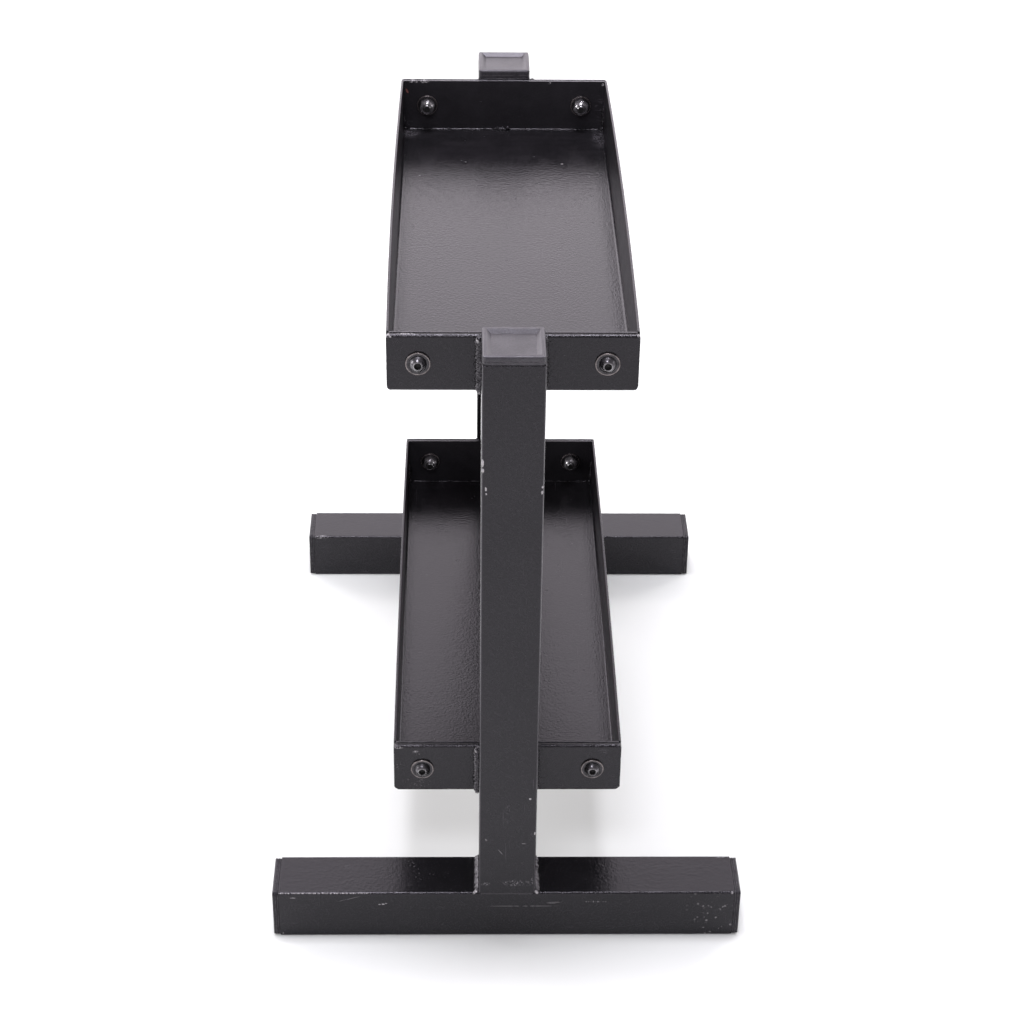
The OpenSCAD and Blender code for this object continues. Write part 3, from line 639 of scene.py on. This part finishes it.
mat_bracket = powder("coat_bracket", seed=11.0, marks=end_marks(2.0), chips=1.0)
# the tray end plates carry a painted fill light: a paler tone over their whole coat
mat_end = powder("coat_tray_end", seed=17.0, marks=end_marks(5.0), chips=1.0, painted_fill=0.85)
mat_pan = powder("coat_tray", seed=23.0, marks=tray_marks(1.0), peel=1.0, chips=0.8, dust=0.9, pits=0.75, walls=True)
mat_cap = plastic("cap_plastic", seed=3.0, ior=1.44, pale=1.2)
mat_foot_cap = plastic("foot_cap_plastic", seed=9.0, ior=1.27, pale=0.55)
# the bolts get painted shade in their sockets and round the feet of their domes, and a painted highlight ring round
# each socket
mat_bolt = zinc("black_zinc_bolt", seed=2.0, base=(0.105, 0.101, 0.108), sockets=True)
mat_zinc = zinc("black_zinc", seed=2.0, base=(0.37, 0.36, 0.372))
# washers: the rim ring is partly a painted rim highlight and partly brown wear
mat_washer = zinc("black_zinc_washer", seed=5.0, base=(0.040, 0.038, 0.041), rough0=0.20, rubbed=0.9, rim=True)
mat_weld = weld_metal("weld_coat", seed=1.0, bare=bracket_tip_highlights)
mat_foot_weld = weld_metal("weld_coat_foot", seed=4.0, pale=0.25, lumps=0.45, ior=1.58, bare=foot_tip_highlights)
mat_tray_weld = weld_metal("weld_coat_tray", seed=6.0, pale=0.55, lumps=0.8, ior=1.42)
mat_nylon = nylon("nylon_ring")

for end, s in SIDES.items():
    dress(f"foot_tube_{end}", powder(f"coat_foot_{end}", seed=3.0 + s, marks=foot_marks(s, 4.0 + s)), 0.25)
    dress(f"upright_tube_{end}", powder(f"coat_upright_{end}", seed=7.0 + s, marks=upright_marks(s, 6.0 + s)), 0.45)
    for tier in ("upper", "lower"):
        dress(f"{tier}_bracket_{end}", mat_bracket, 0.6)
        dress(f"{tier}_tray_end_{end}", mat_end, 0.55)
    for which in ("front", "back"):
        dress(f"foot_cap_{end}_{which}", mat_foot_cap, 0.3, angle=28, whole=False)
    dress(f"upright_cap_{end}", mat_cap, 0.3, angle=28, whole=False)

for tier in ("upper", "lower"):
    dress(f"{tier}_bolts", mat_bolt, 0.22, angle=38)
    dress(f"{tier}_lock_nuts", mat_zinc, 0.14, angle=38)
    dress(f"{tier}_outer_washers", mat_washer, 0.28)
    dress(f"{tier}_inner_washers", mat_washer, 0.28)
    dress(f"{tier}_nut_inserts", mat_nylon, 0.0)


# ---------------------------------------------------------------- new pieces

def new_piece(name, bm, mat, replaced=(), smooth=True):
    bmesh.ops.recalc_face_normals(bm, faces=bm.faces)
    me = bpy.data.meshes.new(name)
    bm.to_mesh(me)
    bm.free()
    me.polygons.foreach_set("use_smooth", [smooth] * len(me.polygons))
    me.materials.append(mat)
    o = bpy.data.objects.new(name, me)
    bpy.context.scene.collection.objects.link(o)
    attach(o, "root")
    if replaced:
        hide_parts(*replaced)
    return o


def n3(x, y=0.0, z=0.0):
    return noise.noise(Vector((x, y, z)))


def tray_pan(tier, bow):
    """The folded channel as one swept sheet: rolled rims, bent lower edges and long walls that lean out a little
    between their welded ends."""
    low, high = PANS[tier]
    half = high.y
    top, bottom = high.z, low.z
    r_out, r_in = 3.0 * MM, 2.6 * MM
    e = 0.45 * MM                       # rounding of the sheet's cut edge
    floor = bottom + SHEET

    # one side's profile from the middle of the floor's underside, out, up, over the rim and back to the middle of the floor
    side = [(0.0, bottom)]
    side += [(half * f, bottom) for f in (0.25, 0.5, 0.75, 0.9)]
    for i in range(0, 7):
        a = math.radians(-90 + 90 * i / 6)
        side.append((half - r_out + r_out * math.cos(a), bottom + r_out + r_out * math.sin(a)))
    side += [(half, bottom + (top - bottom) * f) for f in (0.3, 0.55, 0.8)]
    for i in range(0, 4):
        a = math.radians(90 * i / 3)
        side.append((half - e + e * math.cos(a), top - e + e * math.sin(a)))
    for i in range(0, 4):
        a = math.radians(90 + 90 * i / 3)
        side.append((half - SHEET + e + e * math.cos(a), top - e + e * math.sin(a)))
    side += [(half - SHEET, bottom + (top - bottom) * f) for f in (0.8, 0.55, 0.3)]
    for i in range(0, 6):
        a = math.radians(0 - 90 * i / 5)
        side.append((half - SHEET - r_in + r_in * math.cos(a), floor + r_in + r_in * math.sin(a)))
    side += [(half * f, floor) for f in (0.9, 0.75, 0.5, 0.25)]
    side += [(0.0, floor)]
    right = side
    left = [(-y, z) for y, z in side[1:-1]][::-1]
    ring = right + left

    length = high.x - low.x
    steps = 40
    stations = [low.x, low.x + 0.4 * MM] + [low.x + length * i / steps for i in range(1, steps)] + [high.x - 0.4 * MM, high.x]
    bm = bmesh.new()
    rings = []
    for x in stations:
        u = 2 * (x - low.x) / length - 1
        lean = bow * (1 - u * u)
        row = []
        for y, z in ring:
            h = max(0.0, (z - floor) / (top - floor))
            s = 1 if y > 0 else -1
            edge_on = 1.0 if abs(y) > half - 4 * MM else 0.0
            wave = 0.12 * MM * n3(x * 9.0, s * 3.0, 1.0 if tier == "upper" else 7.0) * (1 - u ** 8)
            dy = s * edge_on * h * (lean + wave)
            # the floor sheet is pulled a hair out of flat by its welds
            dz = 0.0
            if edge_on == 0.0:
                dz = -0.18 * MM * (1 - u ** 6) * (0.5 + n3(x * 5.0, y * 9.0, 2.0)) * (1 - (y / half) ** 2)
            row.append(bm.verts.new((x, y + dy, z + dz)))
        rings.append(row)
    n = len(ring)
    for a, b in zip(rings, rings[1:]):
        for i in range(n):
            j = (i + 1) % n
            bm.faces.new((a[i], a[j], b[j], b[i]))
    bm.faces.new(rings[0])
    bm.faces.new(rings[-1][::-1])
    o = new_piece(f"{tier}_tray_sheet", bm, mat_pan, (f"{tier}_tray_pan",))
    w = o.modifiers.new("even_normals", "WEIGHTED_NORMAL")
    w.keep_sharp = True
    w.weight = 60
    return o


def bead(bm, start, end, leg_a, leg_b, la, lb, seed, pitch=1.9 * MM, ripple=0.10, rough=0.16, back=0.35 * MM,
         steps_per=6, arc=9, taper=3.0 * MM, hollow=0.10):
    """A fillet bead laid from start to end in the corner between two faces. leg_a and leg_b are unit vectors along
    those faces, la and lb the legs. Its face carries crescent ripples and uneven width."""
    start, end = Vector(start), Vector(end)
    a, b = Vector(leg_a), Vector(leg_b)
    d = end - start
    length = d.length
    t = d.normalized()
    count = max(12, int(length / pitch * steps_per))
    rings = []
    for i in range(count + 1):
        s = length * i / count
        end_k = min(1.0, math.sqrt(max(0.0, min(s, length - s)) / taper + 0.02))
        wa = la * end_k * (1 + rough * n3(s * 420.0, seed, 0.3) + 0.5 * rough * n3(s * 1300.0, seed, 5.0))
        wb = lb * end_k * (1 + rough * n3(s * 420.0, seed, 9.1) + 0.5 * rough * n3(s * 1300.0, seed, 7.0))
        c = start + t * s
        row = []
        for k in range(arc + 1):
            th = 0.5 * math.pi * k / arc
            crest = math.sin(2 * th)
            # crescents: the ripple's phase trails towards the toes of the bead
            phase = (s / pitch + 0.55 * (1 - crest)) * 2 * math.pi
            rp = 1 + ripple * crest * (abs(math.sin(phase * 0.5)) ** 0.7 - 0.5)
            k_r = 1 - hollow * crest
            jitter = 1 + 0.05 * n3(s * 900.0, th * 3.0, seed + 2.0)
            row.append(c + a * (wa * math.cos(th) * k_r * rp * jitter) + b * (wb * math.sin(th) * k_r * rp * jitter))
        row.append(c - a * back + b * (wb * 0.45))
        row.append(c - a * back - b * back)
        row.append(c + a * (wa * 0.45) - b * back)
        rings.append([bm.verts.new(v) for v in row])
    n = len(rings[0])
    for p, q in zip(rings, rings[1:]):
        for i in range(n):
            j = (i + 1) % n
            bm.faces.new((p[i], p[j], q[j], q[i]))
    for row, flip in ((rings[0], True), (rings[-1], False)):
        mid = sum((v.co for v in row), Vector()) / n
        tip = bm.verts.new(mid + (t * -0.5 * MM if flip else t * 0.5 * MM))
        for i in range(n):
            j = (i + 1) % n
            bm.faces.new((row[j], row[i], tip) if flip else (row[i], row[j], tip))


def blob(bm, centre, radius, squash=(1, 1, 1), seed=0.0, rough=0.12, sub=2):
    """A small lump of spatter, a closed form sunk a little in the surface."""
    made = bmesh.ops.create_icosphere(bm, subdivisions=sub, radius=radius)
    for v in made["verts"]:
        k = 1 + rough * n3(v.co.x / radius * 1.7 + seed, v.co.y / radius * 1.7, v.co.z / radius * 1.7)
        v.co = Vector((v.co.x * squash[0] * k, v.co.y * squash[1] * k, v.co.z * squash[2] * k)) + Vector(centre)


def bracket_welds(end):
    """Fillets down both sides of the upright on the outer face of its two brackets, with a drip and some spatter."""
    s = SIDES[end]
    rnd = random.Random(40 + s)
    bm = bmesh.new()
    for t_i, tier in enumerate(("upper", "lower")):
        low, high = BRACKETS[tier]
        for side in (-1, 1):
            leg = 5.0 * MM if side * s < 0 else 3.2 * MM
            drop = 1.8 * MM if side * s < 0 else 0.3 * MM
            bead(bm, (s * TUBE_IN_X, side * TUBE, low.z - drop + 0.6 * MM), (s * TUBE_IN_X, side * TUBE, high.z - 0.5 * MM),
                 (s, 0, 0), (0, side, 0), min(leg, 4.2 * MM), leg, seed=10.0 * t_i + side + 3 * s, rough=0.28, ripple=0.24)
            # a proud start and a crater at the top of the heavier bead
            if side * s < 0:
                blob(bm, (s * (TUBE_IN_X + 1.6 * MM), side * (TUBE + 2.2 * MM), high.z - 2.6 * MM), 2.6 * MM, (0.9, 1.0, 0.8), seed=4.0 + t_i, rough=0.3)
                blob(bm, (s * (TUBE_IN_X + 1.2 * MM), side * (TUBE + 3.9 * MM), high.z - 6.6 * MM), 1.6 * MM, (0.8, 1.0, 1.2), seed=2.0 + t_i, rough=0.3)
                blob(bm, (s * (TUBE_IN_X + 1.1 * MM), side * (TUBE + 1.6 * MM), low.z + 0.2 * MM), 2.1 * MM, (0.8, 0.9, 1.3), seed=8.0 + t_i, rough=0.25)
            for _ in range(16):
                y = TUBE + 3 * MM + abs(rnd.gauss(0, 1)) * 6 * MM
                z = rnd.uniform(low.z + 4 * MM, high.z - 4 * MM)
                r = rnd.uniform(0.22, 0.55) * MM
                blob(bm, (s * (TUBE_IN_X + 0.05 * MM), side * y, z), r, (0.55, 1, 1), seed=rnd.random() * 9, sub=1)
    return new_piece(f"bracket_weld_beads_{end}", bm, mat_weld, (f"bracket_welds_{end}",))


def foot_welds(end):
    """Fillets across the top of the foot at both sides of the upright, and the ground-flush seams at its faces."""
    s = SIDES[end]
    rnd = random.Random(70 + s)
    bm = bmesh.new()
    r = 2.0 * MM
    x0, x1 = FRAME_X - TUBE + r * 0.6, FRAME_X + TUBE - r * 0.6
    for side in (-1, 1):
        bead(bm, (s * x0, side * TUBE, FOOT_TOP), (s * x1, side * TUBE, FOOT_TOP), (0, side, 0), (0, 0, 1),
             3.9 * MM, 4.4 * MM, seed=20.0 + side + 5 * s, rough=0.34, ripple=0.18, taper=2.2 * MM, hollow=0.24)
        # shiny stops of the bead at the outer and inner faces
        for bx in (x0, x1):
            blob(bm, (s * bx, side * (TUBE + 1.3 * MM), FOOT_TOP + 0.2 * MM), 1.5 * MM, (0.8, 1.2, 0.7), seed=bx * 9 + side, rough=0.3)
        for _ in range(18):
            y = TUBE + 3 * MM + abs(rnd.gauss(0, 1)) * 7 * MM
            x = rnd.uniform(x0 + 2 * MM, x1 - 2 * MM)
            q = rnd.uniform(0.22, 0.6) * MM
            blob(bm, (s * x, side * y, FOOT_TOP + 0.05 * MM), q, (1, 1, 0.55), seed=rnd.random() * 9, sub=1)
    for _ in range(46):
        y = rnd.uniform(0.042, 0.098)
        x = rnd.uniform(x0 + 3 * MM, x1 - 3 * MM)
        q = rnd.uniform(0.20, 0.48) * MM
        blob(bm, (s * x, -s * y, FOOT_TOP + 0.04 * MM), q, (1, 1.3, 0.5), seed=rnd.random() * 9, sub=1)
    # seams that fill the valley between the rounded foot edge and the upright's end, dressed flush with both faces
    for face in (-1, 1):
        rows = []
        steps = 60
        for i in range(steps + 1):
            y = -TUBE + r + (2 * TUBE - 2 * r) * i / steps
            dip = 0.10 * MM * (0.6 + 0.6 * n3(y * 700.0, face + s, 2.0))
            outer = TUBE - dip
            pts = []
            for k in range(7):
                a = math.radians(90 * k / 6)
                pts.append((TUBE - r + (r - 0.25 * MM) * math.sin(a), FOOT_TOP - r + (r - 0.25 * MM) * math.cos(a)))
            pts.append((outer, FOOT_TOP - r - 0.3 * MM))
            pts.append((outer, FOOT_TOP - r * 0.5))
            pts.append((outer, FOOT_TOP + 0.25 * MM))
            pts.append((TUBE - r, FOOT_TOP + 0.25 * MM))
            rows.append([bm.verts.new((s * (FRAME_X + face * px), y, pz)) for px, pz in pts])
        n = len(rows[0])
        for p, q in zip(rows, rows[1:]):
            for i in range(n):
                j = (i + 1) % n
                bm.faces.new((p[i], p[j], q[j], q[i]))
        bm.faces.new(rows[0])
        bm.faces.new(rows[-1][::-1])
    return new_piece(f"foot_weld_beads_{end}", bm, mat_foot_weld, (f"foot_welds_{end}",))


def tray_welds(tier):
    """Fillets inside a tray: up the corners and along the floor, with a heavier tack in the middle."""
    low, high = PANS[tier]
    rnd = random.Random(90 if tier == "upper" else 95)
    floor = low.z + SHEET
    inside = high.y - SHEET
    bm = bmesh.new()
    for end, s in SIDES.items():
        x = high.x
        for side in (-1, 1):
            tall = 25.0 if side > 0 else (13.0 if tier == "upper" else 21.0)
            leg = 3.3 * MM if side < 0 and tier == "lower" else 2.3 * MM
            bead(bm, (s * x, side * inside, floor + 2.0 * MM), (s * x, side * inside, floor + tall * MM), (-s, 0, 0), (0, -side, 0),
                 leg, leg, seed=30.0 + side + s, rough=0.35, ripple=0.18, pitch=1.6 * MM, taper=5.0 * MM)
            blob(bm, (s * (x - 1.2 * MM), side * (inside - 1.2 * MM), floor + 1.4 * MM), 2.1 * MM, (1, 1, 0.8), seed=side + s, rough=0.25)
        bead(bm, (s * x, -inside + 4 * MM, floor), (s * x, inside - 4 * MM, floor), (-s, 0, 0), (0, 0, 1),
             1.1 * MM, 0.95 * MM, seed=36.0 + s, rough=0.5, ripple=0.16, pitch=1.7 * MM, steps_per=4)
        # the tack: a short heavy bead and its lumps
        bead(bm, (s * x, -12.0 * MM, floor), (s * x, 5.5 * MM, floor), (-s, 0, 0), (0, 0, 1),
             3.2 * MM, 2.7 * MM, seed=38.0 + s, rough=0.5, ripple=0.26, taper=7.0 * MM)
        blob(bm, (s * (x - 1.4 * MM), 3.8 * MM, floor + 1.9 * MM), 2.0 * MM, (0.9, 1.2, 1.0), seed=6 + s, rough=0.3)
        for _ in range(22):
            y = rnd.gauss(0, 30) * MM
            if abs(y) > inside - 6 * MM:
                continue
            q = rnd.uniform(0.2, 0.5) * MM
            blob(bm, (s * (x - 3 * MM - abs(rnd.gauss(0, 1)) * 5 * MM), y, floor + 0.04 * MM), q, (1, 1, 0.55), seed=rnd.random() * 9, sub=1)
    return new_piece(f"{tier}_tray_weld_beads", bm, mat_tray_weld, (f"{tier}_tray_welds",))


def screw_threads(tier):
    """Rolled thread on the tips of the screws, where they stand out of the nuts."""
    low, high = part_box(f"{tier}_bolts")
    bl, bh = BRACKETS[tier]
    z0 = (bl.z + bh.z) / 2
    y0 = (low.y + high.y) / 2 + (high.y - low.y) / 2 - 7.0 * MM
    head_x = bh.x + 1.6 * MM
    tip = head_x - 20.0 * MM
    bm = bmesh.new()
    pitch = 1.25 * MM
    for s in (-1, 1):
        for y in (-y0, y0):
            rows = []
            start, stop = tip + 0.9 * MM, tip + 2.6 * MM
            per = 28
            turns = (stop - start) / pitch
            total = int(per * turns)
            for i in range(total + 1):
                a = 2 * math.pi * i / per
                x = start + pitch * i / per
                k = min(1.0, i / 6.0, (total - i) / 6.0)
                row = []
                for dx, dr in ((-0.5, -0.12), (-0.12, 0.09), (0.12, 0.09), (0.5, -0.12)):
                    rr = 3.95 * MM + dr * MM * k - (0.04 * MM if k < 0.2 else 0)
                    row.append(bm.verts.new((s * (x + dx * pitch * 0.5), y + rr * math.cos(a * s), z0 + rr * math.sin(a * s))))
                rows.append(row)
            for p, q in zip(rows, rows[1:]):
                for i in range(4):
                    j = (i + 1) % 4
                    bm.faces.new((p[i], p[j], q[j], q[i]))
            bm.faces.new(rows[0])
            bm.faces.new(rows[-1][::-1])
    return new_piece(f"{tier}_screw_threads", bm, mat_zinc)


for tier in ("upper", "lower"):
    tray_pan(tier, 2.2 * MM if tier == "upper" else 0.8 * MM)
    tray_welds(tier)
    screw_threads(tier)
for end in SIDES:
    bracket_welds(end)
    foot_welds(end)


# ---------------------------------------------------------------- stage

def stage_floor():
    me = bpy.data.meshes.new("studio_floor")
    r = 9.0
    me.from_pydata([(-r, -r, 0), (r, -r, 0), (r, r, 0), (-r, r, 0)], [], [(0, 1, 2, 3)])
    o = bpy.data.objects.new("studio_floor", me)
    bpy.context.scene.collection.objects.link(o)
    t = Tree("pale_floor")
    n = t.noise(2.0, 2.0, 0.5)
    t.link(t.mix(n, rgb(0.800, 0.820, 0.792), rgb(0.820, 0.840, 0.812)), t.p.inputs["Base Color"])
    t.p.inputs["Roughness"].default_value = 0.9
    t.p.inputs["Specular IOR Level"].default_value = 0.0
    me.materials.append(t.mat)


def world():
    """A pale studio: a bright wall behind the rack, dim above and on the near side."""
    w = bpy.data.worlds.new("studio")
    bpy.context.scene.world = w
    w.use_nodes = True
    nt = w.node_tree
    nt.nodes.clear()

    def add(kind, **props):
        n = nt.nodes.new(kind)
        for k, v in props.items():
            setattr(n, k, v)
        return n

    out = add("ShaderNodeOutputWorld")
    bg = add("ShaderNodeBackground")
    nt.links.new(bg.outputs[0], out.inputs[0])
    tc = add("ShaderNodeTexCoord")
    sep = add("ShaderNodeSeparateXYZ")
    nt.links.new(tc.outputs["Generated"], sep.inputs[0])

    def profile(stops):
        """Brightness against the sine of the elevation."""
        ramp = add("ShaderNodeValToRGB")
        nt.links.new(sep.outputs[2], ramp.inputs[0])
        el = ramp.color_ramp
        el.interpolation = "EASE"
        while len(el.elements) < len(stops):
            el.elements.new(0.5)
        for e, (p, v) in zip(el.elements, stops):
            e.position = p
            e.color = (v, v, v, 1.0)
        return ramp.outputs[0]

    behind = profile(BEHIND)
    ahead = profile(AHEAD)
    fac = add("ShaderNodeMapRange", interpolation_type="SMOOTHSTEP")
    fac.inputs["From Min"].default_value = -0.45
    fac.inputs["From Max"].default_value = 0.25
    nt.links.new(sep.outputs[0], fac.inputs["Value"])
    mix = add("ShaderNodeMix", data_type="RGBA")
    nt.links.new(fac.outputs["Result"], mix.inputs[0])
    nt.links.new(behind, mix.inputs[6])
    nt.links.new(ahead, mix.inputs[7])
    # a little more light from the -Y side
    side = add("ShaderNodeMapRange")
    side.inputs["From Min"].default_value = -0.6
    side.inputs["From Max"].default_value = 0.6
    side.inputs["To Min"].default_value = SIDE_LIGHT[0]
    side.inputs["To Max"].default_value = SIDE_LIGHT[1]
    nt.links.new(sep.outputs[1], side.inputs["Value"])
    scale = add("ShaderNodeVectorMath", operation="SCALE")
    nt.links.new(mix.outputs[2], scale.inputs[0])
    nt.links.new(side.outputs["Result"], scale.inputs["Scale"])
    tint = add("ShaderNodeVectorMath", operation="MULTIPLY")
    nt.links.new(scale.outputs[0], tint.inputs[0])
    tint.inputs[1].default_value = (1.0, 0.94, 1.0)
    nt.links.new(tint.outputs[0], bg.inputs[0])
    bg.inputs[1].default_value = 3.25


# brightness / 3 against sin(elevation)
BEHIND = [(0.0, 0.62), (0.36, 0.71), (0.47, 0.69), (0.56, 0.64), (0.68, 0.60), (0.80, 0.18), (1.0, 0.04)]
AHEAD = [(0.0, 0.30), (0.25, 0.17), (0.50, 0.08), (1.0, 0.03)]
SIDE_LIGHT = (1.20, 0.84)


def area(name, loc, target, size, power, size_y=None, colour=(1, 1, 1)):
    d = bpy.data.lights.new(name, "AREA")
    d.energy = power
    d.color = colour
    d.shape = "RECTANGLE" if size_y else "SQUARE"
    d.size = size
    if size_y:
        d.size_y = size_y
    o = bpy.data.objects.new(name, d)
    o.location = loc
    v = Vector(target) - Vector(loc)
    o.rotation_euler = v.to_track_quat("-Z", "Y").to_euler()
    bpy.context.scene.collection.objects.link(o)
    return o


def camera():
    d = bpy.data.cameras.new("camera")
    d.sensor_width = 36.0
    d.lens = 2343.6 / 1024 * 36.0
    d.clip_end = 60.0
    o = bpy.data.objects.new("camera", d)
    bpy.context.scene.collection.objects.link(o)
    right = Vector((0.01632, 0.99980, 0.01192)).normalized()
    fwd = Vector((-0.84391, 0.02017, -0.53610)).normalized()
    up = right.cross(fwd).normalized()
    right = fwd.cross(up).normalized()
    o.matrix_world = Matrix((
        (right.x, up.x, -fwd.x, 1.8898),
        (right.y, up.y, -fwd.y, -0.0379),
        (right.z, up.z, -fwd.z, 1.4512),
        (0, 0, 0, 1)))
    bpy.context.scene.camera = o


stage_floor()
world()
camera()
area("softbox_top", (-0.02, 0.0, 3.3), (-0.02, 0, 0), 1.0, 74.0, colour=(0.98, 0.96, 1.04))
area("softbox_front", (2.2, -0.35, 2.9), (0.1, 0, 0.3), 0.8, 26.0, 0.6, colour=(0.98, 0.96, 1.04))
area("softbox_left", (0.5, -2.6, 1.15), (0, 0, 0.3), 1.5, 30.0, 1.0)
area("softbox_right", (0.3, 2.6, 1.2), (0, 0, 0.3), 1.2, 6.0, 0.9)
# two more for the floor far behind
area("softbox_far_left", (-2.4, -2.8, 2.0), (-2.3, 0, 0), 1.0, 34.0)
area("softbox_far_right", (-2.4, 2.8, 2.0), (-2.3, 0, 0), 1.0, 34.0)

scene = bpy.context.scene
scene.view_settings.view_transform = "Standard"
scene.view_settings.look = "None"
